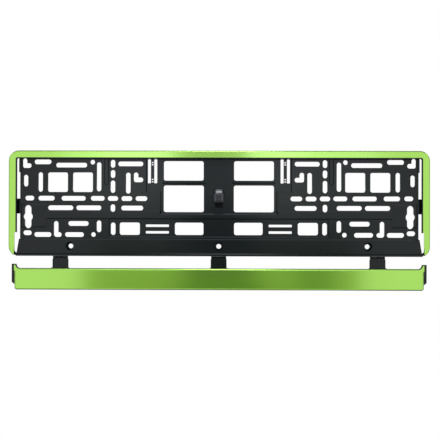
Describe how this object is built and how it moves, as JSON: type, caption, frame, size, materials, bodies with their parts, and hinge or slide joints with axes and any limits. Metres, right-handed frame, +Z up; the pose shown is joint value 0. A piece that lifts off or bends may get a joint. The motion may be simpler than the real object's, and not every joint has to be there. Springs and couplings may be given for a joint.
{
  "type": "number plate holder",
  "caption": "Slotted black plastic tray with a green metallic frame and a closing strip hanging open below it on hinged straps, for a flat vehicle number plate.",
  "frame": {"origin": "middle screw hole of the lower row, where it meets the back plane", "axes": "+X to the right seen from the front, +Z up the holder, -Y out of the front face"},
  "size_m": [0.534, 0.012, 0.1767],
  "materials": {
    "black_plastic": "satin moulded plastic with a faint grain",
    "green_film": "light green metallic film, glossy"
  },
  "bodies": {
    "tray": {"base_frame": "black_plastic", "frame_film": "green_film"},
    "straps": {"strap_left": "black_plastic", "strap_centre": "black_plastic", "strap_right": "black_plastic"},
    "strip": {"closing_strip": "black_plastic", "strip_film": "green_film"}
  },
  "joints": [
    {"name": "strap_hinge", "type": "hinge", "parent": "tray", "child": "straps", "pos_m": [0, -0.00775, -0.01325], "axis": [-1, 0, 0], "range_deg": [0, 165]},
    {"name": "strip_hinge", "type": "hinge", "parent": "straps", "child": "strip", "pos_m": [0, -0.00775, -0.03325], "axis": [-1, 0, 0], "range_deg": [-165, 0]}
  ],
  "couplings": [
    {"joint": "strip_hinge", "follows": "strap_hinge", "ratio": -1}
  ]
}
